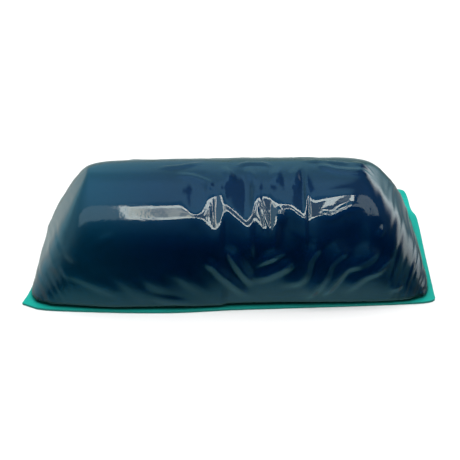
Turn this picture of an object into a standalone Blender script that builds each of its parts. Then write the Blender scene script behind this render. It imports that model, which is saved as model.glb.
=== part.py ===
"""Half-round rosin cake, wrapped in clear film and bonded to a cut backing sheet.

Metres, +Z up. +X runs along the cake, -Y is its front, and the origin is the middle
of the backing sheet's underside, which is the face that the part rests on.
"""

import math

import bmesh
import bpy

MM = 0.001

# Backing sheet: its outline is cut by hand, so it is given by the points it passes through,
# in millimetres. The outline is then centred on the origin.
SHEET_THICKNESS = 0.4 * MM
SHEET_SHARP_CORNER = (-32.8, -14.6)
SHEET_ROUTE = (
    (-30.4, -15.8), (-23.5, -16.6), (-9.5, -17.2), (0.0, -16.7), (10.7, -16.4), (25.7, -15.9), (30.8, -15.5),
    (31.9, -14.9), (32.0, -13.6), (32.4, -3.4), (32.8, 5.0), (32.8, 8.4),
    (32.3, 10.2), (32.2, 15.6), (31.8, 16.8), (30.6, 17.2),
    (10.0, 17.2), (-10.0, 17.1), (-29.2, 16.8),
    (-30.5, 16.3), (-30.9, 15.0), (-31.3, 2.0), (-31.8, -9.4), (-32.3, -12.8),
)
SHEET_STEPS_PER_POINT = 4

# Gap left between pieces that touch, and the thin layers under the cake.
TOUCH_GAP = 0.3 * MM
FILM_THICKNESS = 0.25 * MM
ADHESIVE_THICKNESS = 0.25 * MM

# Rosin cake: a half-round bar whose ends slope up to a shorter ridge. The left end slopes
# almost straight, and the right end is a little fuller.
CAKE_HALF_LENGTH = 31.15 * MM
CAKE_WIDTH = 26.9 * MM
CAKE_HEIGHT = 15.1 * MM
CAKE_CENTRE_X = -0.3 * MM
CAKE_CENTRE_Y = -2.6 * MM
CAKE_FOOT_RADIUS = 0.5 * MM
CAKE_SECTION_POWER = 2.1
CAKE_LEFT_RIDGE = 21.5 * MM
CAKE_LEFT_POWER = 1.12
CAKE_RIGHT_RIDGE = 20.2 * MM
CAKE_RIGHT_POWER = 1.4
CAKE_FOOT_PLAN_POWER = 9.0
CAKE_TOP_PLAN_POWER = 5.7

# Window in the film's turned-under hem, and the adhesive that fills it.
WINDOW_LENGTH = 50.0 * MM
WINDOW_WIDTH = 15.0 * MM
WINDOW_POWER = 6.0
ADHESIVE_MARGIN = 0.6 * MM

# Mesh density.
RING_POINTS = 64
FOOT_RINGS = 4
SIDE_RINGS = 11
TOP_ANGLE = math.radians(88.0)

SHEET_TOP = SHEET_THICKNESS
FILM_BOTTOM = SHEET_TOP + TOUCH_GAP
CAKE_BOTTOM = FILM_BOTTOM + FILM_THICKNESS + TOUCH_GAP


def clear_scene():
    for obj in list(bpy.data.objects):
        bpy.data.objects.remove(obj, do_unlink=True)


def make_material(name, colour, roughness, transmission=0.0, alpha=1.0):
    material = bpy.data.materials.new(name)
    material.use_nodes = True
    shader = material.node_tree.nodes["Principled BSDF"]
    shader.inputs["Base Color"].default_value = (*colour, 1.0)
    shader.inputs["Roughness"].default_value = roughness
    shader.inputs["Metallic"].default_value = 0.0
    shader.inputs["Transmission Weight"].default_value = transmission
    shader.inputs["Alpha"].default_value = alpha
    return material


def make_object(name, mesh_builder, material):
    """Turn a bmesh into a named object with its material and outward normals."""
    bmesh.ops.recalc_face_normals(mesh_builder, faces=mesh_builder.faces)
    mesh = bpy.data.meshes.new(name)
    mesh_builder.to_mesh(mesh)
    mesh_builder.free()
    mesh.shade_smooth()
    mesh.set_sharp_from_angle(angle=math.radians(40.0))
    mesh.materials.append(material)
    obj = bpy.data.objects.new(name, mesh)
    bpy.context.collection.objects.link(obj)
    return obj


def signed_power(value, power):
    return math.copysign(abs(value) ** power, value)


def rounded_rectangle(half_length, half_width, power, count=RING_POINTS):
    """Points (x, y) round a superellipse: the higher the power, the squarer the corners."""
    points = []
    for index in range(count):
        angle = 2.0 * math.pi * index / count
        x = half_length * signed_power(math.cos(angle), 2.0 / power)
        y = half_width * signed_power(math.sin(angle), 2.0 / power)
        points.append((x, y))
    return points


def add_ring(mesh_builder, points):
    return [mesh_builder.verts.new(point) for point in points]


def bridge_rings(mesh_builder, lower, upper):
    count = len(lower)
    for index in range(count):
        following = (index + 1) % count
        mesh_builder.faces.new((lower[index], lower[following], upper[following], upper[index]))


def end_half_length(rise, ridge, power, grow):
    """Distance from the cake's middle to one end, at a given rise between foot and ridge."""
    return ridge + grow + (CAKE_HALF_LENGTH - ridge) * (1.0 - rise ** power) ** (1.0 / power)


def cake_ring(height, grow):
    """One level of the cake's outer surface, pushed outwards by grow.

    height is measured up from the surface's own underside.
    """
    z = CAKE_BOTTOM - grow + height
    rise = max(0.0, z - CAKE_BOTTOM) / (CAKE_HEIGHT + grow)
    foot = CAKE_FOOT_RADIUS + grow
    inset = foot - math.sqrt(foot ** 2 - (foot - height) ** 2) if height < foot else 0.0
    left = end_half_length(rise, CAKE_LEFT_RIDGE, CAKE_LEFT_POWER, grow) - inset
    right = end_half_length(rise, CAKE_RIGHT_RIDGE, CAKE_RIGHT_POWER, grow) - inset
    section = (1.0 - rise ** CAKE_SECTION_POWER) ** (1.0 / CAKE_SECTION_POWER)
    half_width = (CAKE_WIDTH / 2.0 + grow) * section - inset
    plan_power = CAKE_TOP_PLAN_POWER + (CAKE_FOOT_PLAN_POWER - CAKE_TOP_PLAN_POWER) * (1.0 - rise) ** 3
    points = []
    for x, y in rounded_rectangle(1.0, 1.0, plan_power):
        half_length = right if x > 0.0 else left
        points.append((CAKE_CENTRE_X + x * half_length, CAKE_CENTRE_Y + y * half_width, z))
    return points


def cake_heights(grow):
    """Heights of the levels: round the foot, then up the side to just under the ridge."""
    foot = CAKE_FOOT_RADIUS + grow
    heights = []
    for step in range(FOOT_RINGS):
        heights.append(foot * (1.0 - math.cos(math.radians(90.0 * step / (FOOT_RINGS - 1)))))
    start = math.asin(CAKE_FOOT_RADIUS / (CAKE_HEIGHT + grow))
    for step in range(1, SIDE_RINGS + 1):
        angle = start + (TOP_ANGLE - start) * step / SIDE_RINGS
        heights.append(grow + (CAKE_HEIGHT + grow) * math.sin(angle))
    return heights


def add_cake_surface(mesh_builder, grow):
    """Add the side and top of the cake's surface, and return its lowest ring."""
    rings = [add_ring(mesh_builder, cake_ring(height, grow)) for height in cake_heights(grow)]
    for lower, upper in zip(rings, rings[1:]):
        bridge_rings(mesh_builder, lower, upper)
    mesh_builder.faces.new(rings[-1])
    return rings[0]


def window_ring(length, width, z):
    points = []
    for x, y in rounded_rectangle(length / 2.0, width / 2.0, WINDOW_POWER):
        points.append((CAKE_CENTRE_X + x, CAKE_CENTRE_Y + y, z))
    return points


def smooth_step_point(points, index, fraction):
    """Catmull-Rom point between points[index] and the next one, on a closed route."""
    count = len(points)
    p0, p1, p2, p3 = (points[(index + offset) % count] for offset in (-1, 0, 1, 2))
    knots = [0.0]
    for start, end in ((p0, p1), (p1, p2), (p2, p3)):
        knots.append(knots[-1] + math.sqrt(math.dist(start, end)))
    t = knots[1] + (knots[2] - knots[1]) * fraction

    def blend(a, b, ta, tb):
        share = (t - ta) / (tb - ta)
        return tuple(u + (v - u) * share for u, v in zip(a, b))

    a1 = blend(p0, p1, knots[0], knots[1])
    a2 = blend(p1, p2, knots[1], knots[2])
    a3 = blend(p2, p3, knots[2], knots[3])
    b1 = blend(a1, a2, knots[0], knots[2])
    b2 = blend(a2, a3, knots[1], knots[3])
    return blend(b1, b2, knots[1], knots[2])


def sheet_outline():
    """Closed outline of the sheet: smooth along the route, with one sharp corner."""
    route = [SHEET_SHARP_CORNER, *SHEET_ROUTE]
    last = len(route) - 1
    outline = []
    for index, point in enumerate(route):
        outline.append(point)
        touches_corner = index in (0, last)
        if touches_corner:
            continue
        for step in range(1, SHEET_STEPS_PER_POINT):
            outline.append(smooth_step_point(route, index, step / SHEET_STEPS_PER_POINT))
    middle_x = (min(x for x, _ in outline) + max(x for x, _ in outline)) / 2.0
    middle_y = (min(y for _, y in outline) + max(y for _, y in outline)) / 2.0
    return [((x - middle_x) * MM, (y - middle_y) * MM) for x, y in outline]


def extrude_outline(outline, bottom, top):
    mesh_builder = bmesh.new()
    lower = add_ring(mesh_builder, [(x, y, bottom) for x, y in outline])
    upper = add_ring(mesh_builder, [(x, y, top) for x, y in outline])
    bridge_rings(mesh_builder, lower, upper)
    mesh_builder.faces.new(lower)
    mesh_builder.faces.new(upper)
    return mesh_builder


def build_backing_sheet():
    """Thin coloured sheet under the cake, a little larger than its foot."""
    material = make_material("teal_sheet", (0.04, 0.47, 0.40), 0.45)
    return make_object("backing_sheet", extrude_outline(sheet_outline(), 0.0, SHEET_TOP), material)


def build_adhesive_layer():
    """Flat pad of adhesive in the film's window, between the sheet and the cake."""
    length = WINDOW_LENGTH - 2.0 * ADHESIVE_MARGIN
    width = WINDOW_WIDTH - 2.0 * ADHESIVE_MARGIN
    outline = [(x, y) for x, y, _ in window_ring(length, width, 0.0)]
    material = make_material("clear_adhesive", (0.75, 0.72, 0.60), 0.35)
    mesh_builder = extrude_outline(outline, FILM_BOTTOM, FILM_BOTTOM + ADHESIVE_THICKNESS)
    return make_object("adhesive_layer", mesh_builder, material)


def build_rosin_block():
    """The cake itself: one solid casting of dark rosin with a flat underside."""
    mesh_builder = bmesh.new()
    foot_ring = add_cake_surface(mesh_builder, 0.0)
    mesh_builder.faces.new(foot_ring)
    material = make_material("dark_rosin", (0.004, 0.035, 0.075), 0.2)
    return make_object("rosin_block", mesh_builder, material)


def build_wrap_film():
    """Clear film all over the cake, turned under its foot and open at the window."""
    mesh_builder = bmesh.new()
    inner_grow = TOUCH_GAP
    outer_grow = TOUCH_GAP + FILM_THICKNESS
    inner_foot = add_cake_surface(mesh_builder, inner_grow)
    outer_foot = add_cake_surface(mesh_builder, outer_grow)
    inner_lip = add_ring(mesh_builder, window_ring(WINDOW_LENGTH, WINDOW_WIDTH, CAKE_BOTTOM - inner_grow))
    outer_lip = add_ring(mesh_builder, window_ring(WINDOW_LENGTH, WINDOW_WIDTH, CAKE_BOTTOM - outer_grow))
    bridge_rings(mesh_builder, inner_lip, inner_foot)
    bridge_rings(mesh_builder, outer_lip, outer_foot)
    bridge_rings(mesh_builder, inner_lip, outer_lip)
    material = make_material("clear_film", (0.85, 0.93, 0.96), 0.08, transmission=1.0, alpha=0.35)
    return make_object("wrap_film", mesh_builder, material)


def main():
    clear_scene()
    build_backing_sheet()
    build_adhesive_layer()
    build_rosin_block()
    build_wrap_film()


main()
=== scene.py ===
"""Looks of the wrapped rosin cake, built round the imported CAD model.

+Z is up and -Y is the cake's front. The cake's own numbers are in millimetres, unless their
comment says metres, and the stage's are in metres.
"""

import math

import bmesh
import bpy
import numpy as np
from mathutils import Matrix, Vector


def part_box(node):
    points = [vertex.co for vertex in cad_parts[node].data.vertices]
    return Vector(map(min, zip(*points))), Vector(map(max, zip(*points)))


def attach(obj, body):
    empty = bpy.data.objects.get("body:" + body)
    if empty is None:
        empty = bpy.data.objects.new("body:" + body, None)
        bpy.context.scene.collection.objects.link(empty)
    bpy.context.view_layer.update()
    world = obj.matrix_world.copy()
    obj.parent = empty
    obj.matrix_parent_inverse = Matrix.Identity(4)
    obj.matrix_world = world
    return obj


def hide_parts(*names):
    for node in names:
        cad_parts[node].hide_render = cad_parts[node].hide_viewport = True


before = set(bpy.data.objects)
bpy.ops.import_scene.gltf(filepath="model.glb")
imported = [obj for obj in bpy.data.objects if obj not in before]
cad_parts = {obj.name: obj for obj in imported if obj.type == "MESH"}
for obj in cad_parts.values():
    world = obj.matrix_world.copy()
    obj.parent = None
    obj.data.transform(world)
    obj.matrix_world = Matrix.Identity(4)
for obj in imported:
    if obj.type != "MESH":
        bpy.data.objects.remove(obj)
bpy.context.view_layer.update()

MM = 0.001
BODY = "root"

# Edges over this angle are shaded sharp.
SHARP_ANGLE = math.radians(50.0)

# The CAD film gives the cake's outer size.
FILM_LOW, FILM_HIGH = (np.array(corner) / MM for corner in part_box("wrap_film"))
SHEET_LOW, SHEET_HIGH = (np.array(corner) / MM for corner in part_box("backing_sheet"))
PAD_LOW, PAD_HIGH = (np.array(corner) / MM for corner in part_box("adhesive_layer"))
SHEET_TOP = SHEET_HIGH[2]

# Outer surface of the wrapped cake: plan, section and end slopes, as in the CAD part.
CENTRE_X = (FILM_LOW[0] + FILM_HIGH[0]) / 2.0
CENTRE_Y = (FILM_LOW[1] + FILM_HIGH[1]) / 2.0
HALF_LENGTH = (FILM_HIGH[0] - FILM_LOW[0]) / 2.0
HALF_WIDTH = (FILM_HIGH[1] - FILM_LOW[1]) / 2.0
TOP = FILM_HIGH[2]
FOOT_GAP = 0.06
FOOT = SHEET_TOP + FOOT_GAP
HEIGHT = TOP - FOOT
LEFT_RIDGE = 22.05
LEFT_POWER = 1.12
RIGHT_RIDGE = 20.75
RIGHT_POWER = 1.4
SECTION_POWER = 2.1
FOOT_PLAN_POWER = 9.0
TOP_PLAN_POWER = 5.7
FOOT_RADIUS = 0.55

# The film turns in under the foot, by these shares of the cake's plan.
FILM_HEM = (0.01, 0.1)

# The film grips the cake's left end and lets go over a length to the right of it.
GRIP_END = -15.0
GRIP_FADE = 5.0

# The block: its grid (columns along the middle and over each end, rows in front and behind), how
# far it is shrunk inside the cake's plain surface, how far it keeps below the film's folds, how
# much lower it lies where the film is loose, and how far over from the foot that comes in.
BLOCK_GRID = (90, 30, 60, 24)
BLOCK_SHRINK = 0.15
BLOCK_UNDER_FOLDS = 0.2
BLOCK_LOOSE = 0.5
BLOCK_FOOT_REACH = 3.0

# Adhesive pad, thin under the block: rings as (inset, rise) from its bottom up, the power that
# squares its corners, and the share of its size by which its edge wavers.
PAD_BOTTOM = SHEET_TOP + 0.03
PAD_RINGS = ((0.2, 0.0), (0.0, 0.06), (0.0, 0.1), (0.2, 0.16))
PAD_SEGMENTS = 160
PAD_CORNER = 0.4
PAD_WAVER = 0.012

# Wear along the backing sheet's cut edges, the angles up to which its faces count as flat, over
# which an edge counts as cut, and over which it is shaded sharp, and how far up a face points
# that counts as its top.
SHEET_WEAR = 0.09
SHEET_WEAR_SEGMENTS = 2
SHEET_FLAT = math.radians(1.0)
SHEET_CUT = math.radians(60.0)
SHEET_SHARP = math.radians(35.0)
SHEET_UP = 0.9

# The film's grid: columns along the middle and over each end, rows in front and behind. The
# surface is found along rays from the cake's core, by halving. Shares of the plan are capped, and
# divisors kept off 0.
FILM_GRID = (280, 70, 178, 44)
MIDDLE_HALF_LENGTH = LEFT_RIDGE - 4.0
CORE_HALF_LENGTH = 18.0
RAY_REACH = 2.0
HALVINGS = 36
WELL_OUTSIDE = 3.0
LEAST = 1e-6
LEAST_NORMAL = 1e-9

# The front rows reach past the crest to this angle. They stand closer together at the shoulder:
# its angle, the spread, and how much closer.
ANGLE_SAMPLES = 600
CREST_ANGLE = math.radians(112.0)
SHOULDER_ANGLE = math.radians(55.0)
SHOULDER_SPREAD = math.radians(16.0)
SHOULDER_DENSITY = 1.5

# Small lifts off the foot, so that no ray from the core runs level.
START_LIFT = 1e-4
CORE_LIFT = 1e-5

# How far the front foot of the wrapped cake stands behind the CAD outline, by place along it, and
# how far over that reaches.
FOOT_LINE_X = (-32.0, -25.0, -18.0, -6.0, -1.6, -0.4, 8.0, 20.0, 32.0)
FOOT_LINE_IN = (0.35, 0.35, -0.15, -0.2, 0.0, 0.35, 0.5, 0.45, 0.3)
FOOT_LINE_REACH = 4.5

# Folds of the film: a route along the crest as (along, over) on the film, the crest's height,
# and the widths of its lower and its upper flank. First the crisp ones below the shoulder.
LOWER_FOLDS = (
    (((-1.4, 10.4), (0.0, 9.3), (0.9, 8.0), (2.4, 5.6), (3.4, 4.0)), 0.4, 1.25, 1.95),
    (((-4.6, 8.6), (-2.7, 7.6), (-1.2, 6.0), (0.4, 4.4), (3.3, 1.2)), 0.34, 1.25, 1.72),
    (((3.4, 7.2), (5.3, 8.4), (7.0, 9.1), (8.8, 9.7)), 0.4, 1.12, 1.72),
    (((3.2, 4.8), (5.0, 5.7), (7.0, 6.6), (8.6, 7.5), (10.2, 8.0)), 0.4, 1.38, 1.84),
    (((6.8, 4.1), (10.0, 4.7), (11.3, 6.2), (11.8, 8.2), (12.8, 9.6), (14.4, 10.2)), 0.4, 1.25, 2.4),
    (((11.0, 1.2), (12.6, 3.0), (14.3, 5.8), (15.0, 7.7), (16.7, 9.2), (18.6, 9.8)), 0.42, 1.25, 3.0),
    (((13.5, 1.7), (15.2, 3.7), (17.4, 6.8), (19.6, 7.6), (21.4, 8.8), (23.2, 10.6)), 0.42, 1.25, 3.2),
    (((17.0, 2.1), (20.1, 5.4), (22.9, 6.9), (25.6, 10.0)), 0.36, 1.25, 2.2),
    (((24.5, 2.6), (27.0, 3.9), (29.5, 5.6)), 0.16, 1.12, 1.61),
)

# Faint ones on the left, where the film is tight.
SOFT_FOLDS = (
    (((-33.0, 12.5), (-27.5, 8.3), (-22.0, 5.6), (-16.0, 2.2)), 0.17, 1.76, 2.25),
    (((-31.0, 15.0), (-26.0, 10.8), (-21.5, 8.0), (-18.5, 6.3)), 0.12, 1.6, 2.25),
    (((-19.0, 7.0), (-16.5, 5.6), (-14.0, 3.2), (-12.0, 1.6)), 0.11, 2.08, 1.88),
    (((-13.8, 6.4), (-11.6, 5.0), (-9.0, 2.6)), 0.12, 1.92, 1.75),
    (((-9.8, 6.9), (-7.6, 6.3), (-5.8, 4.8), (-2.6, 1.8)), 0.19, 2.08, 2),
    (((-13.5, 3.0), (-9.5, 1.9), (-5.5, 1.3)), 0.13, 1.28, 1.25),
    (((-21.0, 10.8), (-19.2, 11.9), (-17.4, 12.8)), 0.09, 1.12, 1.25),
)

# Round ones at the shoulder and over the top.
UPPER_FOLDS = (
    (((7.0, 16.8), (7.7, 15.2), (8.6, 13.4)), 0.12, 0.8, 1.0),
    (((8.6, 13.6), (10.2, 12.4), (12.4, 11.4), (14.4, 11.2), (16.4, 12.2)), 0.05, 0.8, 2.0),
    (((-2.9, 17.4), (-3.2, 15.8), (-2.8, 13.4)), 0.08, 0.45, 0.5),
    (((4.6, 18.6), (5.1, 15.8), (6.0, 12.6)), 0.1, 0.45, 0.55),
    (((22.6, 11.8), (23.5, 13.2), (24.4, 14.8)), 0.14, 0.5, 1.3),
    (((12.4, 14.4), (14.0, 15.1), (15.6, 15.1), (17.2, 16.0), (19.0, 16.7), (20.8, 16.4)),
     0.12, 0.8, 1.1),
    (((-1.2, 26.0), (-0.6, 24.2), (0.1, 22.2), (0.4, 20.2)), 0.2, 1.2, 1.2),
    (((3.0, 25.8), (3.0, 23.6), (3.3, 21.6), (3.2, 20.0)), 0.22, 1.4, 1.4),
    (((7.8, 25.8), (7.2, 23.4), (7.3, 21.6), (7.8, 19.8)), 0.2, 1.4, 1.4),
    (((11.4, 26.0), (10.2, 23.4), (10.3, 21.4), (10.8, 19.8)), 0.18, 1.3, 1.3),
    (((14.0, 26.4), (15.6, 24.4), (19.0, 23.4), (23.0, 23.6)), 0.26, 1.2, 1.6),
    (((-9.0, 23.4), (-5.6, 22.4), (-3.4, 20.8), (-2.6, 19.4)), 0.2, 1.1, 1.4),
    (((-11.8, 25.6), (-8.5, 25.8), (-6.8, 26.4), (-3.8, 27.6)), 0.2, 1.6, 0.6),
    (((0.6, 25.2), (2.2, 26.5), (4.0, 26.8), (5.6, 26.5), (7.2, 25.0)), 0.2, 1.6, 0.6),
    (((11.0, 27.7), (14.0, 27.2), (17.0, 26.6), (19.8, 25.8)), 0.2, 1.6, 0.6),
    (((19.0, 27.0), (21.2, 25.8), (23.6, 24.4)), 0.2, 1.6, 0.6),
)

# Broad swells of the loose film on the top.
SWELLS = (
    (((-1.3, 17.4), (-1.0, 20.4), (-0.5, 24.6)), 0.12, 1.7, 1.8),
    (((6.2, 18.0), (6.5, 20.8), (7.0, 24.0)), 0.1, 1.4, 1.4),
    (((9.8, 17.6), (10.0, 20.4), (10.6, 24.0)), 0.11, 1.5, 1.6),
)

# The film's shoulder, where it turns over from the front to the top. Plain, it lies this far over,
# with this half width and this curvature. Moving it is felt this far round, and a half width is
# kept between these two.
SHOULDER_OVER = 15.75
SHOULDER_HALF = 1.44
SHOULDER_BEND = 0.07
SHOULDER_NEAR = 5.5
SHOULDER_WIDTHS = (0.3, 4.0)

# How far over the bend reaches where it is sharpened or flattened, plain and for each millimetre
# of half width, and the share of the change that the film makes up for round it.
BEND_REACH = 1.1
BEND_REACH_SHARE = 0.75
BEND_MADE_UP = 0.7

# The shoulder's line as (along, over, half width). A small width is a sharp edge, and a large one
# a flat facet: the pinch, the first loop, the second loop, the facet, and the way down to the right.
SHOULDER = (
    (-9.5, 15.75, 1.44), (-7.8, 15.85, 1.4), (-6.8, 15.6, 1.0), (-6.0, 15.3, 0.45),
    (-5.2, 15.2, 0.36), (-4.5, 15.25, 0.6), (-3.9, 15.5, 1.4), (-3.3, 15.8, 2.7),
    (-2.5, 15.6, 3.7), (-1.7, 16.0, 3.0), (-1.1, 16.3, 1.3), (-0.5, 16.4, 0.6),
    (0.4, 15.7, 0.6), (1.6, 14.6, 0.5), (2.4, 13.95, 0.5), (3.1, 14.4, 0.9),
    (3.7, 15.7, 1.8), (4.4, 16.2, 3.0), (5.2, 15.6, 4.2), (6.0, 14.7, 4.2),
    (6.7, 15.2, 2.6), (7.6, 16.2, 0.9), (8.3, 16.5, 0.45), (9.4, 16.4, 0.45),
    (10.4, 15.6, 0.5), (11.2, 15.0, 0.5), (11.6, 15.8, 1.3), (11.9, 17.1, 3.1),
    (12.3, 16.4, 2.2), (12.9, 16.1, 1.9), (14.0, 16.3, 1.8), (15.4, 16.8, 1.8),
    (17.0, 17.3, 1.9), (18.8, 17.7, 2.0), (20.2, 17.7, 2.4), (21.3, 17.0, 2.4),
    (22.2, 16.5, 1.6), (23.0, 16.2, 0.8), (24.0, 16.2, 1.2), (26.0, 15.75, 1.44),
    (28.0, 15.75, 1.44),
)

# Round swellings: centre, radii along and over, and height.
MOUNDS = (
    ((2.4, 11.0), (1.5, 2.2), 0.15),
    ((13.2, 10.6), (2.4, 2.0), 0.08),
)

# Steps between the points of a fold's route and of the shoulder's line, and along a flank.
ROUTE_STEPS = 6
SHOULDER_STEPS = 40
FLANK_STEPS = 120

# A fold is worked out this many widths round its route. Its ends fade over at most this share of
# it each, and narrow to this share of its width.
FOLD_MARGIN = 1.6
FOLD_MOST_FADE = 0.45
FOLD_END_WIDTH = 0.75

# A fold's roundness: the shares of a flank that are rounded at its foot and at its crest, and the
# length of its faded ends.
CRISP = (0.35, 0.22, 2.6)
ROUND = (0.5, 0.5, 2.6)
SOFT = (0.6, 0.5, 5.0)

# Grains of dust under the film, as (along, over).
SPECKS = (
    (-8.6, 10.3), (-8.3, 9.5), (-17.7, 7.4), (-14.7, 12.8),
    (-18.7, 8.2), (-12.6, 21.8), (-5.3, 20.0), (19.4, 8.7),
)
SPECK_HEIGHT = 0.05
SPECK_RADIUS = 0.2

# Where the film is loose: from this place on the cake's front, further right higher up, to its
# right end, with the lengths that it takes to come loose and to tighten.
LOOSE_START = -9.0
LOOSE_SLANT = 0.175
LOOSE_LEVEL = 12.0
LOOSE_REACH = (-8.0, 12.0)
LOOSE_LENGTH = 6.0
LOOSE_END = 27.0
LOOSE_END_LENGTH = 4.0

# Small waves of the film, as (height, size along, size over, seed), and how they lean: the shift
# along for each millimetre over, and the place over where it is none.
LOOSE_WAVES = ((0.05, 3.2, 4.2, 11),)
LOOSE_RIPPLES = ((0.003, 1.3, 2.6, 12),)
LOOSE_RIPPLE_LEAN = (0.3, 0.0)
EVEN_WAVES = ((0.02, 6.5, 5.0, 13),)
RIGHT_LINES = ((0.08, 0.7, 12.0, 21), (0.09, 2.0, 14.0, 22))
RIGHT_LEAN = (-0.3, 15.0)
LEFT_LINES = ((0.06, 0.8, 12.0, 23), (0.08, 2.6, 12.0, 24))
LEFT_LEAN = (0.5, 12.0)
BACK_FOLDS = ((0.16, 2.0, 7.0, 31), (0.05, 0.9, 5.0, 32))
BACK_LEAN = (0.55, 30.0)
UPRIGHT = (0.0, 0.0)

# The pull lines start this far from the cake's middle, and take this length to start.
RIGHT_LINES_START = 23.5
RIGHT_LINES_FADE = 3.0
LEFT_LINES_START = 24.0
LEFT_LINES_FADE = 4.0

# The back's folds start this far over, and end this far along; each takes a length to fade.
BACK_START = 29.0
BACK_START_FADE = 5.0
BACK_END = 27.0
BACK_END_FADE = 8.0

# The film lies flat along its rim, for this far over.
RIM_FADE = 1.2

# Smooth noise repeats after this many cells, and starts this many cells in.
NOISE_CELLS = 64
NOISE_START = (400.37, 400.71)


def smooth_step(value):
    """0 up to 0, 1 from 1 on, and a smooth rise between."""
    share = np.clip(value, 0.0, 1.0)
    return share * share * (3.0 - 2.0 * share)


# ---------------- surface of the wrapped cake

def rounded_fall(rise, power):
    """From 1 at no rise to 0 at full rise, along a superellipse."""
    return (1.0 - rise ** power) ** (1.0 / power)


def plan_and_section(z, shrink):
    """Half-lengths to the left and right, half-width and plan power of the level at height z."""
    bottom = FOOT + shrink
    rise = np.clip((z - FOOT) / (HEIGHT - shrink), 0.0, 1.0)
    above = np.clip(z - bottom, 0.0, FOOT_RADIUS)
    rounding = np.sqrt(np.maximum(0.0, FOOT_RADIUS ** 2 - (FOOT_RADIUS - above) ** 2))
    inset = FOOT_RADIUS - rounding + shrink
    left = LEFT_RIDGE + (HALF_LENGTH - LEFT_RIDGE) * rounded_fall(rise, LEFT_POWER) - inset
    right = RIGHT_RIDGE + (HALF_LENGTH - RIGHT_RIDGE) * rounded_fall(rise, RIGHT_POWER) - inset
    section = rounded_fall(rise, SECTION_POWER)
    width = (HALF_WIDTH - shrink) * section - (inset - shrink)
    power = TOP_PLAN_POWER + (FOOT_PLAN_POWER - TOP_PLAN_POWER) * (1.0 - rise) ** 3
    return left, right, width, power


def is_inside(points, shrink):
    """True where a point is inside the cake's outer surface, moved inwards by shrink."""
    x = points[..., 0] - CENTRE_X
    y = points[..., 1] - CENTRE_Y
    z = points[..., 2]
    left, right, width, power = plan_and_section(z, shrink)
    share_x = np.abs(x) / np.maximum(np.where(x > 0.0, right, left), LEAST)
    share_y = np.abs(y) / np.maximum(width, LEAST)
    ring = np.minimum(share_x, WELL_OUTSIDE) ** power + np.minimum(share_y, WELL_OUTSIDE) ** power
    return (ring < 1.0) & (z < TOP - shrink) & (z > FOOT + shrink)


def column_places(columns_middle, columns_end):
    """Each column's place along the cake, and how far it leans over the cake's end, in radians."""
    end_angle = np.linspace(0.0, math.pi / 2.0, columns_end + 1)[1:]
    middle = np.linspace(-1.0, 1.0, columns_middle + 1)
    along = np.concatenate([-end_angle[::-1] - 1.0, middle, end_angle + 1.0])
    lean = np.clip(np.abs(along) - 1.0, 0.0, None)
    in_middle = np.minimum(np.abs(along), 1.0) * MIDDLE_HALF_LENGTH
    over_end = (HALF_LENGTH - MIDDLE_HALF_LENGTH) * np.sin(lean)
    return np.sign(along) * (in_middle + over_end), lean


def row_angles(rows_front, rows_back):
    """Each row's angle over the cake, from 0 at the front foot to pi at the back foot."""
    fine = np.linspace(0.0, CREST_ANGLE, ANGLE_SAMPLES)
    density = 1.0 + SHOULDER_DENSITY * np.exp(-((fine - SHOULDER_ANGLE) / SHOULDER_SPREAD) ** 2)
    share = np.cumsum(density) - density[0]
    front = np.interp(np.linspace(0.0, share[-1], rows_front + 1), share, fine)
    return np.concatenate([front, np.linspace(CREST_ANGLE, math.pi, rows_back + 1)[1:]])


def surface_grid(grid, shrink=0.0):
    """Points on the cake's surface, row by row from the front foot to the back foot.

    Each point starts on a plain pillow and moves along a ray from the cake's core until it
    meets the surface. Returns the points, and each one's film coordinates in millimetres:
    distance along the cake and over its ends, and distance up and over from the front foot.
    """
    columns_middle, columns_end, rows_front, rows_back = grid
    x, lean = column_places(columns_middle, columns_end)
    over = row_angles(rows_front, rows_back)
    lean_grid, over_grid = np.meshgrid(lean, over)
    x_grid = np.meshgrid(x, over)[0]
    start = np.stack([
        x_grid + CENTRE_X,
        CENTRE_Y - HALF_WIDTH * np.cos(over_grid),
        FOOT + shrink + HEIGHT * np.sin(over_grid) * np.cos(lean_grid) + START_LIFT,
    ], -1)
    core = np.stack([
        np.clip(x_grid, -CORE_HALF_LENGTH, CORE_HALF_LENGTH) + CENTRE_X,
        np.full_like(x_grid, CENTRE_Y),
        np.full_like(x_grid, FOOT + shrink + CORE_LIFT),
    ], -1)
    ray = start - core
    low = np.zeros(x_grid.shape)
    high = np.full(x_grid.shape, RAY_REACH)
    for _ in range(HALVINGS):
        half = (low + high) / 2.0
        inside = is_inside(core + ray * half[..., None], shrink)
        low = np.where(inside, half, low)
        high = np.where(inside, high, half)
    points = core + ray * low[..., None]
    film_along, film_over = film_coordinates(points)
    back = np.interp(points[..., 0], FOOT_LINE_X, FOOT_LINE_IN)
    points[..., 1] += back * np.exp(-(film_over / FOOT_LINE_REACH) ** 2)
    return points, film_along, film_over


def film_coordinates(points):
    """Distances over the surface: along the ridge from x = 0, and over from the front foot."""
    middle_column = points.shape[1] // 2
    ridge_row = int(np.argmax(points[:, middle_column, 2]))
    steps_along = np.linalg.norm(np.diff(points[ridge_row], axis=0), axis=1)
    along = np.concatenate([[0.0], np.cumsum(steps_along)])
    along = along - np.interp(0.0, points[ridge_row, :, 0], along)
    steps_over = np.linalg.norm(np.diff(points[:, middle_column], axis=0), axis=1)
    over = np.concatenate([[0.0], np.cumsum(steps_over)])
    return np.meshgrid(along, over)


def grid_normals(points):
    """Outward normals of a grid of points."""
    d_along = np.gradient(points, axis=1)
    d_over = np.gradient(points, axis=0)
    normal = np.cross(d_along, d_over)
    return normal / np.maximum(np.linalg.norm(normal, axis=2, keepdims=True), LEAST_NORMAL)


# ---------------- folds of the film

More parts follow.
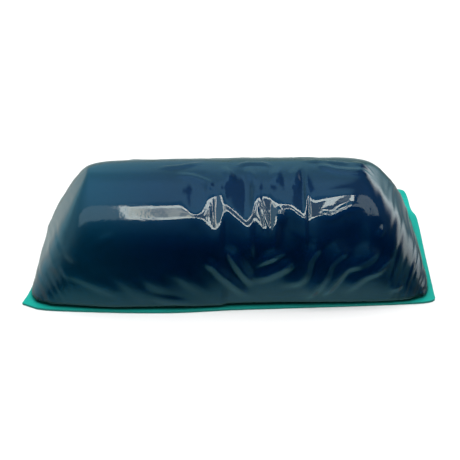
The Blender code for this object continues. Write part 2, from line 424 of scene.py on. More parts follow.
def smooth_route(points, steps):
    """Catmull-Rom curve through the points of a route."""
    points = np.array(points, float)
    padded = np.vstack([2 * points[0] - points[1], points, 2 * points[-1] - points[-2]])
    curve = []
    for k in range(len(points) - 1):
        a, b, c, d = padded[k:k + 4]
        for t in np.arange(steps) / steps:
            curve.append(0.5 * (2 * b + (c - a) * t + (2 * a - 5 * b + 4 * c - d) * t ** 2
                                + (3 * b - a - 3 * c + d) * t ** 3))
    curve.append(points[-1])
    return np.array(curve)


def flank(share, foot, crest):
    """Height of a fold's flank, 1 on the crest and 0 at share 1: an even slope with round ends."""
    steps = np.linspace(0.0, 1.0, FLANK_STEPS + 1)
    slope = smooth_step(steps / crest) * smooth_step((1.0 - steps) / foot)
    fall = np.concatenate([[0.0], np.cumsum((slope[1:] + slope[:-1]) / 2.0)])
    return np.interp(share, steps, 1.0 - fall / fall[-1], right=0.0)


def add_fold(height, along, over, fold, roundness):
    """Adds one fold to the height field. The lower flank is on the side of the front foot."""
    route, rise, lower, upper = fold
    foot, crest, fade = roundness
    curve = smooth_route(route, ROUTE_STEPS)
    reach = max(lower, upper) * FOLD_MARGIN
    near = ((along > curve[:, 0].min() - reach) & (along < curve[:, 0].max() + reach)
            & (over > curve[:, 1].min() - reach) & (over < curve[:, 1].max() + reach))
    if not near.any():
        return
    here = np.stack([along[near], over[near]], -1)
    best = np.full(len(here), 1e9)
    side = np.zeros(len(here))
    place = np.zeros(len(here))
    total = len(curve) - 1
    for k in range(total):
        start = curve[k]
        step = curve[k + 1] - start
        t = np.clip(((here - start) @ step) / (step @ step), 0.0, 1.0)
        gap = here - start - t[:, None] * step
        distance = np.hypot(gap[:, 0], gap[:, 1])
        closer = distance < best
        best = np.where(closer, distance, best)
        turn = step[0] * gap[:, 1] - step[1] * gap[:, 0]
        side = np.where(closer, turn, side)
        place = np.where(closer, (k + t) / total, place)
    if curve[-1, 0] < curve[0, 0]:
        side = -side
    length = np.hypot(*np.diff(curve, axis=0).T).sum()
    taper = min(fade / length, FOLD_MOST_FADE)
    ends = smooth_step(place / taper) * smooth_step((1.0 - place) / taper)
    narrowing = FOLD_END_WIDTH + (1.0 - FOLD_END_WIDTH) * ends
    width = np.where(side > 0.0, upper, lower) * narrowing
    height[near] += rise * ends * flank(best / width, foot, crest)


def smooth_noise(along, over, size_along, size_over, seed):
    """Repeatable smooth noise of about -1 to 1, with its own grain size in each direction."""
    lattice = np.random.default_rng(seed).uniform(-1.0, 1.0, (NOISE_CELLS, NOISE_CELLS))
    u = along / size_along + NOISE_START[0]
    v = over / size_over + NOISE_START[1]
    column, row = np.floor(u).astype(int), np.floor(v).astype(int)
    fu, fv = smooth_step(u - column), smooth_step(v - row)

    def value(down, across):
        return lattice[(row + down) % NOISE_CELLS, (column + across) % NOISE_CELLS]

    low = value(0, 0) * (1.0 - fu) + value(0, 1) * fu
    high = value(1, 0) * (1.0 - fu) + value(1, 1) * fu
    return low * (1.0 - fv) + high * fv


def waves(along, over, sizes, lean):
    """Sum of smooth noises of these sizes, leaning along as they go over."""
    slant, level = lean
    leaning = along + slant * (over - level)
    return sum(rise * smooth_noise(leaning, over, size_along, size_over, seed)
               for rise, size_along, size_over, seed in sizes)


def looseness(along, over):
    """1 where the film lies loose, 0 where it holds tight to the cake's smooth left third."""
    start = LOOSE_START + LOOSE_SLANT * np.clip(over - LOOSE_LEVEL, *LOOSE_REACH)
    loosening = smooth_step((along - start) / LOOSE_LENGTH)
    return loosening * smooth_step((LOOSE_END - along) / LOOSE_END_LENGTH)


def shoulder_height(along, over):
    """Moves the shoulder of the film to its given line, and sharpens or flattens it there."""
    line = smooth_route(SHOULDER, SHOULDER_STEPS)
    centre = np.interp(along, line[:, 0], line[:, 1])
    half = np.clip(np.interp(along, line[:, 0], line[:, 2]), *SHOULDER_WIDTHS)
    shift = centre - SHOULDER_OVER
    near = np.exp(-(np.abs(over - SHOULDER_OVER) / SHOULDER_NEAR) ** 3)
    moved = near * SHOULDER_BEND * (shift * (over - SHOULDER_OVER) - shift ** 2 / 2.0)
    reach = BEND_REACH + BEND_REACH_SHARE * half
    sharper = (SHOULDER_HALF / half - 1.0) * np.exp((half / reach) ** 2)
    swell = np.exp(-((over - centre) / reach) ** 2) - BEND_MADE_UP * near
    return moved + SHOULDER_BEND * sharper * reach ** 2 / 2.0 * swell


def round_height(along, over, centre, radii, rise):
    """A round swelling of the film."""
    share_along = (along - centre[0]) / radii[0]
    share_over = (over - centre[1]) / radii[1]
    return rise * np.exp(-share_along ** 2 - share_over ** 2)


def pull_lines(along, over):
    """Fine pull lines of the film over both ends of the cake."""
    right = smooth_step((along - RIGHT_LINES_START) / RIGHT_LINES_FADE)
    left = smooth_step((-along - LEFT_LINES_START) / LEFT_LINES_FADE)
    right_lines = right * waves(along, over, RIGHT_LINES, RIGHT_LEAN)
    return right_lines + left * waves(along, over, LEFT_LINES, LEFT_LEAN)


def back_folds(along, over):
    """Slanting folds over the back of the cake, where the film is gathered to its foot."""
    behind = smooth_step((over - BACK_START) / BACK_START_FADE)
    between = smooth_step((BACK_END - np.abs(along)) / BACK_END_FADE)
    return behind * between * waves(along, over, BACK_FOLDS, BACK_LEAN)


def film_height(along, over):
    """Height of the film above the plain surface, in millimetres."""
    height = np.zeros(along.shape)
    kinds = ((LOWER_FOLDS, CRISP), (SOFT_FOLDS, SOFT), (SWELLS, SOFT), (UPPER_FOLDS, ROUND))
    for folds, roundness in kinds:
        for fold in folds:
            add_fold(height, along, over, fold, roundness)
    for centre, radii, rise in MOUNDS:
        height += round_height(along, over, centre, radii, rise)
    height += shoulder_height(along, over)
    ripples = waves(along, over, LOOSE_RIPPLES, LOOSE_RIPPLE_LEAN)
    height += looseness(along, over) * (waves(along, over, LOOSE_WAVES, UPRIGHT) + ripples)
    height += waves(along, over, EVEN_WAVES, UPRIGHT)
    height += pull_lines(along, over)
    height += back_folds(along, over)
    for speck in SPECKS:
        height += round_height(along, over, speck, (SPECK_RADIUS, SPECK_RADIUS), SPECK_HEIGHT)
    rim = smooth_step(over / RIM_FADE) * smooth_step((over.max() - over) / RIM_FADE)
    return height * rim


# ---------------- meshes

def link_object(name, data):
    """A new object with this mesh, light or camera, in the scene."""
    obj = bpy.data.objects.new(name, data)
    bpy.context.scene.collection.objects.link(obj)
    return obj


def smooth_mesh(name, builder, sharp_angle):
    """The builder's mesh, shaded smooth but for edges sharper than the angle."""
    mesh = bpy.data.meshes.new(name)
    builder.to_mesh(mesh)
    builder.free()
    mesh.shade_smooth()
    mesh.set_sharp_from_angle(angle=sharp_angle)
    return mesh


def grid_mesh(name, points, hem):
    """Object from a grid of points in millimetres, and the indices of its lowest ring.

    Its rim is turned in under the foot, level, by each share of the plan in hem.
    """
    rows, columns = points.shape[:2]
    index = np.arange(rows * columns).reshape(rows, columns)
    corners = [index[:-1, :-1], index[:-1, 1:], index[1:, 1:], index[1:, :-1]]
    faces = np.stack(corners, -1).reshape(-1, 4).tolist()
    rim = np.concatenate([index[0], index[1:, -1], index[-1, -2::-1], index[-2:0:-1, 0]])
    vertices = [points.reshape(-1, 3)]
    rim_points = vertices[0][rim]
    middle = np.array([CENTRE_X, CENTRE_Y])
    total = rows * columns
    for inward in hem:
        ring = rim_points.copy()
        ring[:, :2] = middle + (rim_points[:, :2] - middle) * (1.0 - inward)
        vertices.append(ring)
        inner = np.arange(total, total + len(ring))
        total += len(ring)
        for a, b, c, d in zip(rim, np.roll(rim, -1), np.roll(inner, -1), inner):
            faces.append([int(b), int(a), int(d), int(c)])
        rim = inner
    mesh = bpy.data.meshes.new(name)
    mesh.from_pydata((np.concatenate(vertices) * MM).tolist(), [], faces)
    mesh.update()
    mesh.shade_smooth()
    return link_object(name, mesh), rim


def store_value(obj, name, values):
    """Keeps one number for each vertex of a grid mesh, for its material; the rest stay 0."""
    full = np.zeros(len(obj.data.vertices), np.float32)
    full[:values.size] = values.reshape(-1)
    attribute = obj.data.attributes.new(name, "FLOAT", "POINT")
    attribute.data.foreach_set("value", full)


def finish_piece(obj, node, material):
    """Gives a piece its material, and puts it in its CAD node's place."""
    obj.data.materials.clear()
    obj.data.materials.append(material)
    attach(obj, BODY)
    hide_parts(node)


# ---------------- shader nodes

def new_material(name):
    """An empty material, with its nodes and its links."""
    material = bpy.data.materials.new(name)
    material.use_nodes = True
    material.node_tree.nodes.clear()
    return material, material.node_tree.nodes, material.node_tree.links


def principled_material(name):
    """A material with one Principled shader."""
    material, nodes, links = new_material(name)
    output = nodes.new("ShaderNodeOutputMaterial")
    shader = nodes.new("ShaderNodeBsdfPrincipled")
    links.new(shader.outputs[0], output.inputs[0])
    return material, nodes, links, shader


def glowing_material(name, colour=(1, 1, 1), strength=1.0):
    """A material with one Emission shader."""
    material, nodes, links = new_material(name)
    output = nodes.new("ShaderNodeOutputMaterial")
    glow = nodes.new("ShaderNodeEmission")
    feed(links, glow.inputs["Color"], colour)
    glow.inputs["Strength"].default_value = strength
    links.new(glow.outputs[0], output.inputs[0])
    return material, nodes, links, glow


def feed(links, socket, value):
    """Gives a socket a number, a colour or another socket's value."""
    if isinstance(value, float):
        socket.default_value = value
    elif isinstance(value, tuple):
        socket.default_value = (*value, 1)
    else:
        links.new(value, socket)


def object_place(nodes):
    """Place in the object's own coordinates, in metres."""
    return nodes.new("ShaderNodeTexCoord").outputs["Object"]


def noise_node(nodes, links, scale, detail, roughness):
    """Noise by the place on the object; scale is in grains a metre."""
    noise = nodes.new("ShaderNodeTexNoise")
    noise.inputs["Scale"].default_value = scale
    noise.inputs["Detail"].default_value = detail
    noise.inputs["Roughness"].default_value = roughness
    links.new(object_place(nodes), noise.inputs["Vector"])
    return noise.outputs["Fac"]


def ramp_node(nodes, links, value, stops):
    """Colour ramp from (position, colour) stops."""
    ramp = nodes.new("ShaderNodeValToRGB")
    elements = ramp.color_ramp.elements
    while len(elements) < len(stops):
        elements.new(0.5)
    for element, (position, colour) in zip(elements, stops):
        element.position = position
        element.color = (*colour, 1)
    links.new(value, ramp.inputs["Fac"])
    return ramp.outputs["Color"]


def range_node(nodes, links, value, low, high, to_low=0.0, to_high=1.0):
    """Smooth step from to_low, where the value is low, to to_high, where it is high."""
    node = nodes.new("ShaderNodeMapRange")
    node.interpolation_type = "SMOOTHSTEP"
    ends = (("From Min", low), ("From Max", high), ("To Min", to_low), ("To Max", to_high))
    for name, number in ends:
        node.inputs[name].default_value = number
    links.new(value, node.inputs["Value"])
    return node.outputs["Result"]


def math_node(nodes, links, operation, *values):
    """A sum on numbers and sockets."""
    node = nodes.new("ShaderNodeMath")
    node.operation = operation
    for socket, value in zip(node.inputs, values):
        feed(links, socket, value)
    return node.outputs[0]


def mix_node(nodes, links, share, first, second, blend="MIX"):
    """Mix of two colours; each is a socket or a plain colour."""
    mix = nodes.new("ShaderNodeMix")
    mix.data_type = "RGBA"
    mix.blend_type = blend
    for name, value in (("Factor", share), ("A", first), ("B", second)):
        feed(links, mix.inputs[name], value)
    return mix.outputs["Result"]


def split_node(nodes, links, vector):
    """The X, Y and Z of a vector."""
    split = nodes.new("ShaderNodeSeparateXYZ")
    links.new(vector, split.inputs[0])
    return split.outputs


def unit_node(nodes, links, vector):
    """The vector at length 1."""
    unit = nodes.new("ShaderNodeVectorMath")
    unit.operation = "NORMALIZE"
    links.new(vector, unit.inputs[0])
    return unit.outputs["Vector"]


def bump_node(nodes, links, height, distance, strength):
    """Normals dented by a height; strength is a number or a socket."""
    bump = nodes.new("ShaderNodeBump")
    bump.inputs["Distance"].default_value = distance
    links.new(height, bump.inputs["Height"])
    feed(links, bump.inputs["Strength"], strength)
    return bump.outputs["Normal"]


# ---------------- materials

# A noise is (grains a metre, detail, roughness), a span is the part of a noise that is used, and
# clouds are ramps of (position, colour). Depths, reaches and places are in metres.
FILM_TINT = (0.14, 0.24, 0.3)
FILM_IOR = 1.5
FILM_ROUGHNESS = 0.045
FILM_HAZE = 0.05
FILM_HAZE_NOISE = (420.0, 4.0, 0.65)
FILM_HAZE_SPAN = (0.35, 0.75)
FILM_GRAIN_NOISE = (1700.0, 1.0, 0.5)
FILM_GRAIN_DEPTH = 0.000013
FILM_LOOSE_GRAIN = 0.03

GRAIN_SPAN = (0.3, 0.7)
GRAIN_STRENGTH = 0.5

ROSIN_CLOUDS = ((0.3, (0.01, 0.16, 0.46)), (0.7, (0.02, 0.24, 0.62)))
ROSIN_CLOUD_NOISE = (130.0, 4.0, 0.6)
# Painted light on the rosin: a paler, greener colour towards the left end, standing in for the light
# that end catches, and the X in metres over which it comes in.
ROSIN_LEFT_PAINTED_LIGHT = (0.1, 0.66, 0.85)
ROSIN_LEFT_PAINTED_LIGHT_FADE = (-0.008, -0.026)
ROSIN_GRAIN_NOISE = (1500.0, 5.0, 0.7)
ROSIN_GRAIN_DEPTH = 0.00006
ROSIN_ROUGHNESS = (0.34, 0.5)
ROSIN_SPECULAR = 0.3

SHEET_CLOUDS = ((0.3, (0.004, 0.29, 0.23)), (0.7, (0.008, 0.36, 0.29)))
SHEET_CLOUD_NOISE = (220.0, 5.0, 0.65)
# Painted shade on the sheet next to the cake's foot, standing in for the cake's shadow: its colour,
# how far the occlusion looks, the span of the occlusion that it takes, and the occlusion's samples.
SHEET_PAINTED_SHADE = (0.002, 0.1, 0.09)
SHEET_PAINTED_SHADE_REACH = 0.0016
SHEET_PAINTED_SHADE_SPAN = (0.35, 0.9)
SHEET_PAINTED_SHADE_SAMPLES = 8
SHEET_GRAIN_NOISE = (3000.0, 4.0, 0.7)
SHEET_GRAIN_DEPTH = 0.00004
SHEET_ROUGHNESS = (0.42, 0.6)
SHEET_SPECULAR = 0.2

ADHESIVE_CLOUDS = ((0.35, (0.55, 0.58, 0.55)), (0.65, (0.72, 0.74, 0.70)))
ADHESIVE_NOISE = (500.0, 4.0, 0.6)
ADHESIVE_DEPTH = 0.0001
ADHESIVE_STRENGTH = 0.6
ADHESIVE_ROUGHNESS = 0.35


def film_material():
    """Clear film: see-through, with a reflection that is soft and grainy where it grips the cake."""
    material, nodes, links = new_material("clear_film")
    output = nodes.new("ShaderNodeOutputMaterial")
    mix = nodes.new("ShaderNodeMixShader")
    clear = nodes.new("ShaderNodeBsdfTransparent")
    feed(links, clear.inputs["Color"], FILM_TINT)
    gloss = nodes.new("ShaderNodeBsdfGlossy")
    fresnel = nodes.new("ShaderNodeFresnel")
    fresnel.inputs["IOR"].default_value = FILM_IOR
    grip = nodes.new("ShaderNodeAttribute")
    grip.attribute_name = "grip"
    blotch = noise_node(nodes, links, *FILM_HAZE_NOISE)
    haze = range_node(nodes, links, blotch, *FILM_HAZE_SPAN, 0.0, FILM_HAZE)
    held = math_node(nodes, links, "MULTIPLY", grip.outputs["Fac"], haze)
    links.new(math_node(nodes, links, "ADD", held, FILM_ROUGHNESS), gloss.inputs["Roughness"])
    grain = noise_node(nodes, links, *FILM_GRAIN_NOISE)
    depth = range_node(nodes, links, grip.outputs["Fac"], 0.0, 1.0, FILM_LOOSE_GRAIN, 1.0)
    links.new(bump_node(nodes, links, grain, FILM_GRAIN_DEPTH, depth), gloss.inputs["Normal"])
    links.new(fresnel.outputs[0], mix.inputs[0])
    links.new(clear.outputs[0], mix.inputs[1])
    links.new(gloss.outputs[0], mix.inputs[2])
    links.new(mix.outputs[0], output.inputs[0])
    return material


def add_grain(nodes, links, shader, noise, depth, roughness):
    """A matt grain, which varies the shader's roughness between two values and dents it."""
    grain = noise_node(nodes, links, *noise)
    rough = range_node(nodes, links, grain, *GRAIN_SPAN, *roughness)
    links.new(rough, shader.inputs["Roughness"])
    links.new(bump_node(nodes, links, grain, depth, GRAIN_STRENGTH), shader.inputs["Normal"])


def rosin_material():
    """Rosin, as seen through the tinted film: blue, with painted light making it paler and greener
    towards the left end.
    """
    material, nodes, links, shader = principled_material("dark_rosin")
    clouds = noise_node(nodes, links, *ROSIN_CLOUD_NOISE)
    colour = ramp_node(nodes, links, clouds, ROSIN_CLOUDS)
    # Painted light: the left end is painted paler and greener.
    x = split_node(nodes, links, object_place(nodes))["X"]
    left = range_node(nodes, links, x, *ROSIN_LEFT_PAINTED_LIGHT_FADE)
    links.new(mix_node(nodes, links, left, colour, ROSIN_LEFT_PAINTED_LIGHT), shader.inputs["Base Color"])
    add_grain(nodes, links, shader, ROSIN_GRAIN_NOISE, ROSIN_GRAIN_DEPTH, ROSIN_ROUGHNESS)
    shader.inputs["Specular IOR Level"].default_value = ROSIN_SPECULAR
    return material


def sheet_material():
    """Teal plastic: slightly uneven colour and a fine matt grain, with painted shade darkening it in
    the corner at the foot.
    """
    material, nodes, links, shader = principled_material("teal_sheet")
    clouds = noise_node(nodes, links, *SHEET_CLOUD_NOISE)
    colour = ramp_node(nodes, links, clouds, SHEET_CLOUDS)
    # Painted shade: the sheet's colour is darkened where the cake's foot hides it, standing in for the
    # cake's shadow.
    corner = nodes.new("ShaderNodeAmbientOcclusion")
    corner.samples = SHEET_PAINTED_SHADE_SAMPLES
    corner.inputs["Distance"].default_value = SHEET_PAINTED_SHADE_REACH
    unshaded_share = range_node(nodes, links, corner.outputs["AO"], *SHEET_PAINTED_SHADE_SPAN)
    painted_shade_colour = mix_node(nodes, links, unshaded_share, SHEET_PAINTED_SHADE, colour)
    links.new(painted_shade_colour, shader.inputs["Base Color"])
    add_grain(nodes, links, shader, SHEET_GRAIN_NOISE, SHEET_GRAIN_DEPTH, SHEET_ROUGHNESS)
    shader.inputs["Specular IOR Level"].default_value = SHEET_SPECULAR
    return material


def adhesive_material():
    """Milky clear adhesive with a cloudy, uneven surface."""
    material, nodes, links, shader = principled_material("clear_adhesive")
    clouds = noise_node(nodes, links, *ADHESIVE_NOISE)
    links.new(ramp_node(nodes, links, clouds, ADHESIVE_CLOUDS), shader.inputs["Base Color"])
    shader.inputs["Roughness"].default_value = ADHESIVE_ROUGHNESS
    dents = bump_node(nodes, links, clouds, ADHESIVE_DEPTH, ADHESIVE_STRENGTH)
    links.new(dents, shader.inputs["Normal"])
    return material


# ---------------- pieces

def build_film():
    """The film: one sheet over the cake, with its folds and its hem."""
    points, along, over = surface_grid(FILM_GRID)
    height = film_height(along, over)
    points = points + grid_normals(points) * height[..., None]
    points[..., 2] = np.maximum(points[..., 2], FOOT)
    film, _ = grid_mesh("wrap_film_sheet", points, FILM_HEM)
    free = smooth_step((along - GRIP_END) / GRIP_FADE) * looseness(along + GRIP_FADE, over)
    store_value(film, "grip", 1.0 - free)
    finish_piece(film, "wrap_film", film_material())


def build_block():
    """The rosin itself, just under the film, and a little lower where the film is loose."""
    points, along, over = surface_grid(BLOCK_GRID, BLOCK_SHRINK)
    loose = -BLOCK_LOOSE * looseness(along, over)
    sunk = np.minimum(film_height(along, over) - BLOCK_UNDER_FOLDS, loose)
    points += grid_normals(points) * (sunk * smooth_step(over / BLOCK_FOOT_REACH))[..., None]
    block, rim = grid_mesh("rosin_cake_block", points, ())
    builder = bmesh.new()
    builder.from_mesh(block.data)
    builder.verts.ensure_lookup_table()
    builder.faces.new([builder.verts[int(i)] for i in rim][::-1])
    builder.to_mesh(block.data)
    builder.free()
    block.data.shade_smooth()
    block.data.set_sharp_from_angle(angle=SHARP_ANGLE)
    finish_piece(block, "rosin_block", rosin_material())


def rounded_power(values, power):
    """The values' size to a power, with their signs."""
    return np.sign(values) * np.abs(values) ** power


def build_pad():
    """Thin pad of adhesive between the cake and the sheet, with a soft uneven edge."""
    middle = (PAD_LOW + PAD_HIGH) / 2.0
    half = (PAD_HIGH - PAD_LOW) / 2.0
    turn = np.linspace(0.0, 2.0 * math.pi, PAD_SEGMENTS, endpoint=False)
    edge = 1.0 - PAD_WAVER * (1.0 + np.sin(7.0 * turn) * np.sin(3.0 * turn + 0.6))
    across = rounded_power(np.cos(turn), PAD_CORNER) * half[0] * edge
    deep = rounded_power(np.sin(turn), PAD_CORNER) * half[1] * edge
    builder = bmesh.new()
    rings = []
    for inset, rise in PAD_RINGS:
        x = middle[0] + across * (1.0 - inset / half[0])
        y = middle[1] + deep * (1.0 - inset / half[1])
        z = np.full(PAD_SEGMENTS, PAD_BOTTOM + rise)
        ring = np.stack([x, y, z], -1) * MM
        rings.append([builder.verts.new(point) for point in ring.tolist()])
    for lower, upper in zip(rings, rings[1:]):
        for k in range(PAD_SEGMENTS):
            after = (k + 1) % PAD_SEGMENTS
            builder.faces.new((lower[k], lower[after], upper[after], upper[k]))
    builder.faces.new(rings[0][::-1])
    builder.faces.new(rings[-1])
    pad = link_object("adhesive_pad", smooth_mesh("adhesive_pad", builder, SHARP_ANGLE))
    finish_piece(pad, "adhesive_layer", adhesive_material())


def is_rim(edge):
    """True for an edge round the sheet's top or underside, and not for one across its thickness."""
    if len(edge.link_faces) != 2 or edge.calc_face_angle() <= SHEET_CUT:
        return False
    return abs(edge.verts[0].co.z - edge.verts[1].co.z) < SHEET_WEAR * MM


def build_sheet():
    """The backing sheet: the CAD sheet's outline, with its cut edges worn round."""
    builder = bmesh.new()
    builder.from_mesh(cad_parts["backing_sheet"].data)
    bmesh.ops.dissolve_limit(
        builder, angle_limit=SHEET_FLAT, verts=builder.verts, edges=builder.edges)
    area = sum(face.calc_area() for face in builder.faces if face.normal.z > SHEET_UP)
    rims = [edge for edge in builder.edges if is_rim(edge)]
    bmesh.ops.bevel(
        builder, geom=rims, offset=SHEET_WEAR * MM, segments=SHEET_WEAR_SEGMENTS,
        profile=0.5, affect="EDGES")
    sheet = link_object("backing_sheet_card", smooth_mesh("backing_sheet_card", builder, SHEET_SHARP))
    finish_piece(sheet, "backing_sheet", sheet_material())


# ---------------- stage, all in metres

FLOOR_SIZE = 6.0
FLOOR_COLOUR = (0.86, 0.86, 0.86)
FLOOR_ROUGHNESS = 0.9
FLOOR_SPECULAR = 0.1

# The tent's glow as (height, colour), from 0 straight down to 1 straight up: behind the object,
# in front of it, and where the one turns into the other in the heading's Y.
TENT_RADIUS = 3.5
TENT_BEHIND = (
    (0.0, (0.35, 0.42, 0.42)), (0.29, (0.5, 0.62, 0.62)), (0.38, (0.5, 0.72, 0.75)),
    (0.46, (0.34, 0.56, 0.6)), (0.52, (0.34, 0.68, 0.76)), (0.6, (0.36, 0.84, 0.95)),
    (0.74, (0.46, 1.12, 1.3)), (0.8, (0.36, 0.94, 1.08)), (0.87, (0.42, 1.06, 1.26)),
    (0.94, (0.62, 1.5, 2.0)), (1.0, (0.66, 1.6, 2.15)),
)
TENT_FRONT = (
    (0.18, (0.5, 1.3, 1.4)), (0.31, (0.25, 0.9, 1.0)), (0.42, (0.02, 0.22, 0.3)),
    (0.5, (0.0, 0.07, 0.1)), (0.72, (0.0, 0.03, 0.05)), (0.82, (0.0, 0.12, 0.2)),
    (0.91, (0.08, 0.42, 0.6)), (1.0, (0.3, 0.95, 1.35)),
)
TENT_TURN = (-0.15, -0.85)

# Its dark right side: where it starts and is full in the heading's X, how dark it gets, between
# which heights, from -1 to 1, it fades in and out, and its colour.
DARK_SIDE = (0.16, 0.45)
DARK_SHARE = 0.7
DARK_HEIGHTS = ((-0.7, -0.3), (0.985, 0.95))
DARK_COLOUR = (0.0, 0.03, 0.06)

# Its low windows: where each starts and is full in the heading's X, where it starts in the
# heading's Y, between which heights it fades in and out, and its colour.
WINDOWS = (
    ((0.35, 0.75), -0.4, ((-0.35, 0.15), (0.6, 0.2)), (3.3, 3.4, 3.3)),
    ((-0.45, -0.85), -0.95, ((-0.5, 0.1), (0.45, 0.0)), (0.34, 0.8, 0.95)),
    ((0.2, 0.5), -1.2, ((-0.5, 0.1), (0.45, 0.0)), (0.12, 0.5, 0.58)),
)
WINDOW_FADE = 0.4

# Light panel overhead: its edges, its height and its rims' width. Its glow runs from its left
# edge, 0, to its right edge, 1.
PANEL_ACROSS = (-0.09, 0.14)
PANEL_DEEP = (-0.217, -0.065)
PANEL_HEIGHT = 0.40
PANEL_RIM = 0.026
PANEL_GLOW = (
    (0.0, (1.08, 1.15, 0.98)), (0.15, (0.92, 0.99, 0.85)), (0.17, (0.36, 0.44, 0.43)),
    (0.22, (0.32, 0.4, 0.4)), (0.235, (0.72, 0.81, 0.74)), (0.26, (0.62, 0.71, 0.66)),
    (0.3, (0.09, 0.13, 0.14)), (1.0, (0.07, 0.11, 0.12)),
)
PANEL_STRENGTH = 10.0

# The rims and lamps hang this much lower, which keeps the cards apart.
LONG_RIM_DROP = 0.002
END_RIM_DROP = 0.003
LAMP_DROP = 0.004

# The lamps behind the panel, and the dimmer cards beyond its left and right ends.
LAMP_ACROSS = (0.05, 0.088)
LAMP_LENGTH = 0.085
LAMP_END_ACROSS = (0.094, 0.115)
LAMP_END_LENGTH = 0.07
DIM_END_LENGTH = 0.35
FAR_END_GAP = 0.03
FAR_END_REACH = 0.16
RIM_GLOW = ((0.86, 1, 0.96), 14)
LAMP_GLOW = ((0.88, 1, 0.96), 14)
DIM_GLOW = ((0.55, 0.95, 1.1), 2.4)
FAR_GLOW = ((0.75, 1, 1.04), 2.4)

# Fill lights: name, place, watts and size.
FILLS = (
    ("fill_left", (-0.6, 0.2, 0.6), 3.2, 0.5),
    ("fill_right", (0.7, 0.3, 0.6), 3.2, 0.5),
    ("fill_back", (0.0, 0.8, 0.7), 3.2, 0.6),
    ("fill_front", (0.0, -0.8, 0.8), 2.6, 0.6),
    ("fill_top", (0.0, -0.1, 0.9), 6.5, 0.6),
)
WORLD_STRENGTH = 0.02

CAMERA_ELEVATION = math.radians(35.5)
CAMERA_ROLL = math.radians(-0.78)
CAMERA_DISTANCE = 0.1622
CAMERA_TARGET = (-0.0001, 0.0012, 0.0)
CAMERA_LENS_MM = 74.348
CAMERA_SHIFT_Y = 0.0287
CAMERA_NEAREST = 0.01


def reflected_only(obj):
    """A stage piece that shows in reflections and nowhere else."""
    obj.visible_camera = False
    obj.visible_diffuse = False
    obj.visible_transmission = False
    obj.visible_shadow = False


def card(name, across, deep, height, material):
    """A level light card above the object."""
    left, right = across
    front, back = deep
    mesh = bpy.data.meshes.new(name)
    corners = ((left, front), (right, front), (right, back), (left, back))
    mesh.from_pydata([(x, y, height) for x, y in corners], [], [(0, 1, 2, 3)])
    mesh.update()
    obj = link_object(name, mesh)
    obj.data.materials.append(material)
    reflected_only(obj)


def tent_direction(nodes, links):
    """Direction from the tent's middle: its height, and its level heading's X and Y."""
    direction = split_node(nodes, links, unit_node(nodes, links, object_place(nodes)))
    level = nodes.new("ShaderNodeCombineXYZ")
    links.new(direction["X"], level.inputs[0])
    links.new(direction["Y"], level.inputs[1])
    heading = split_node(nodes, links, unit_node(nodes, links, level.outputs[0]))
    return direction["Z"], heading["X"], heading["Y"]


def tent_gradient(nodes, links, height, heading_y):
    """The tent's glow by height, pale behind and above and dark in front."""
    rise = math_node(nodes, links, "MULTIPLY_ADD", height, 0.5, 0.5)
    behind = ramp_node(nodes, links, rise, TENT_BEHIND)
    front = ramp_node(nodes, links, rise, TENT_FRONT)
    in_front = range_node(nodes, links, heading_y, *TENT_TURN)
    return mix_node(nodes, links, in_front, behind, front)


def between_heights(nodes, links, share, height, fades):
    """The share, faded in and out by height."""
    for start, full in fades:
        fade = range_node(nodes, links, height, start, full)
        share = math_node(nodes, links, "MULTIPLY", share, fade)
    return share


def tent_material():
    """Glow of the studio tent: a gradient by height, with a darker right side and low windows."""
    material, nodes, links, glow = glowing_material("tent_glow")
    height, heading_x, heading_y = tent_direction(nodes, links)
    colour = tent_gradient(nodes, links, height, heading_y)
    shade = range_node(nodes, links, heading_x, *DARK_SIDE, 0.0, DARK_SHARE)
    shade = between_heights(nodes, links, shade, height, DARK_HEIGHTS)
    colour = mix_node(nodes, links, shade, colour, DARK_COLOUR)
    for side, start, fades, tint in WINDOWS:
        across = range_node(nodes, links, heading_x, *side)
        beside = range_node(nodes, links, heading_y, start, start + WINDOW_FADE)
        shown = math_node(nodes, links, "MULTIPLY", across, beside)
        shown = between_heights(nodes, links, shown, height, fades)
        colour = mix_node(nodes, links, shown, colour, tint, "ADD")
    links.new(colour, glow.inputs["Color"])
    material.cycles.emission_sampling = "NONE"
    return material


def panel_material():
    """Glow of the panel's face: lamps to the left, a dark gap between them, dim to the right."""
    material, nodes, links, glow = glowing_material("panel_glow", strength=PANEL_STRENGTH)
    share = nodes.new("ShaderNodeMapRange")
    share.inputs["From Min"].default_value = PANEL_ACROSS[0]
    share.inputs["From Max"].default_value = PANEL_ACROSS[1]
    x = split_node(nodes, links, object_place(nodes))["X"]
    links.new(x, share.inputs["Value"])
    colour = ramp_node(nodes, links, share.outputs["Result"], PANEL_GLOW)
    links.new(colour, glow.inputs["Color"])
    return material


def build_floor():
    """Plain pale floor, which reflections don't see."""
    bpy.ops.mesh.primitive_plane_add(size=FLOOR_SIZE, location=(0, 0, 0))
    floor = bpy.context.active_object
    floor.name = "floor"
    material, _, links, shader = principled_material("pale_floor")
    feed(links, shader.inputs["Base Color"], FLOOR_COLOUR)
    shader.inputs["Roughness"].default_value = FLOOR_ROUGHNESS
    shader.inputs["Specular IOR Level"].default_value = FLOOR_SPECULAR
    floor.data.materials.append(material)
    floor.visible_glossy = False


def build_tent():
    """Studio tent all round, which only reflections see."""
    bpy.ops.mesh.primitive_uv_sphere_add(
        segments=48, ring_count=24, radius=TENT_RADIUS, location=(0, 0, 0))
    tent = bpy.context.active_object
    tent.name = "studio_tent"
    tent.data.materials.append(tent_material())
    reflected_only(tent)


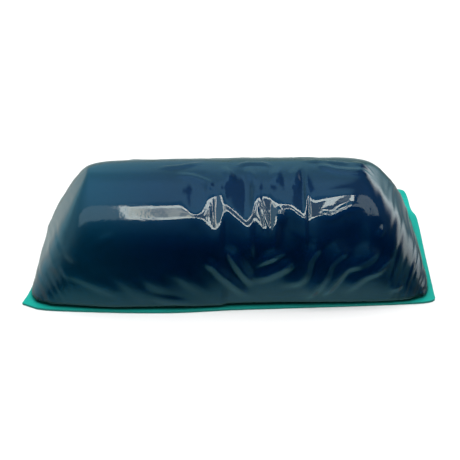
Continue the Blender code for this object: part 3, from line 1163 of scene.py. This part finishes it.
def build_panel():
    """A long light panel with bright rims, lamps behind it, and dimmer cards at its ends."""
    left, right = PANEL_ACROSS
    front, back = PANEL_DEEP
    bright = glowing_material("panel_rim_glow", *RIM_GLOW)[0]
    long_rims = PANEL_HEIGHT - LONG_RIM_DROP
    end_rims = PANEL_HEIGHT - END_RIM_DROP
    lamps = PANEL_HEIGHT - LAMP_DROP
    card("panel", PANEL_ACROSS, PANEL_DEEP, PANEL_HEIGHT, panel_material())
    card("panel_front_rim", PANEL_ACROSS, (front, front + PANEL_RIM), long_rims, bright)
    card("panel_back_rim", PANEL_ACROSS, (back - PANEL_RIM, back), long_rims, bright)
    card("panel_right_rim", (right - PANEL_RIM, right), PANEL_DEEP, end_rims, bright)
    card("panel_left_rim", (left, left + PANEL_RIM / 2.0), PANEL_DEEP, end_rims, bright)
    dim = glowing_material("dim_glow", *DIM_GLOW)[0]
    card("panel_dim_end", (left - DIM_END_LENGTH, left), PANEL_DEEP, PANEL_HEIGHT, dim)
    far = glowing_material("far_panel_glow", *FAR_GLOW)[0]
    lamp = glowing_material("lamp_glow", *LAMP_GLOW)[0]
    card("back_lamp", LAMP_ACROSS, (back - LAMP_LENGTH, back), lamps, lamp)
    card("back_lamp_end", LAMP_END_ACROSS, (back - LAMP_END_LENGTH, back), lamps, far)
    far_end = (right + FAR_END_GAP, right + FAR_END_REACH)
    card("far_panel_right", far_end, PANEL_DEEP, PANEL_HEIGHT, far)


def build_fills():
    """Soft fill lights all round, which reflections don't see, and a faint even world."""
    for name, place, watts, size in FILLS:
        light = bpy.data.lights.new(name, "AREA")
        light.energy = watts
        light.size = size
        obj = link_object(name, light)
        obj.location = place
        obj.rotation_euler = (-Vector(place)).to_track_quat("-Z", "Y").to_euler()
        obj.visible_glossy = False
    world = bpy.data.worlds.new("studio")
    bpy.context.scene.world = world
    world.use_nodes = True
    background = world.node_tree.nodes["Background"]
    background.inputs["Color"].default_value = (1, 1, 1, 1)
    background.inputs["Strength"].default_value = WORLD_STRENGTH


def build_camera():
    """Camera straight in front, looking down at the cake, a little rolled."""
    forward = Vector((0, math.cos(CAMERA_ELEVATION), -math.sin(CAMERA_ELEVATION)))
    up = Vector((0, math.sin(CAMERA_ELEVATION), math.cos(CAMERA_ELEVATION)))
    right = Vector((1, 0, 0))
    camera_right = right * math.cos(CAMERA_ROLL) + up * math.sin(CAMERA_ROLL)
    camera_up = -right * math.sin(CAMERA_ROLL) + up * math.cos(CAMERA_ROLL)
    data = bpy.data.cameras.new("camera")
    data.lens = CAMERA_LENS_MM
    data.shift_y = CAMERA_SHIFT_Y
    data.clip_start = CAMERA_NEAREST
    camera = link_object("camera", data)
    place = Vector(CAMERA_TARGET) - forward * CAMERA_DISTANCE
    rotation = Matrix((camera_right, camera_up, -forward)).transposed()
    camera.matrix_world = Matrix.Translation(place) @ rotation.to_4x4()
    bpy.context.scene.camera = camera


bpy.context.scene.view_settings.view_transform = "Standard"
build_camera()
build_film()
build_block()
build_pad()
build_sheet()
build_floor()
build_tent()
build_panel()
build_fills()
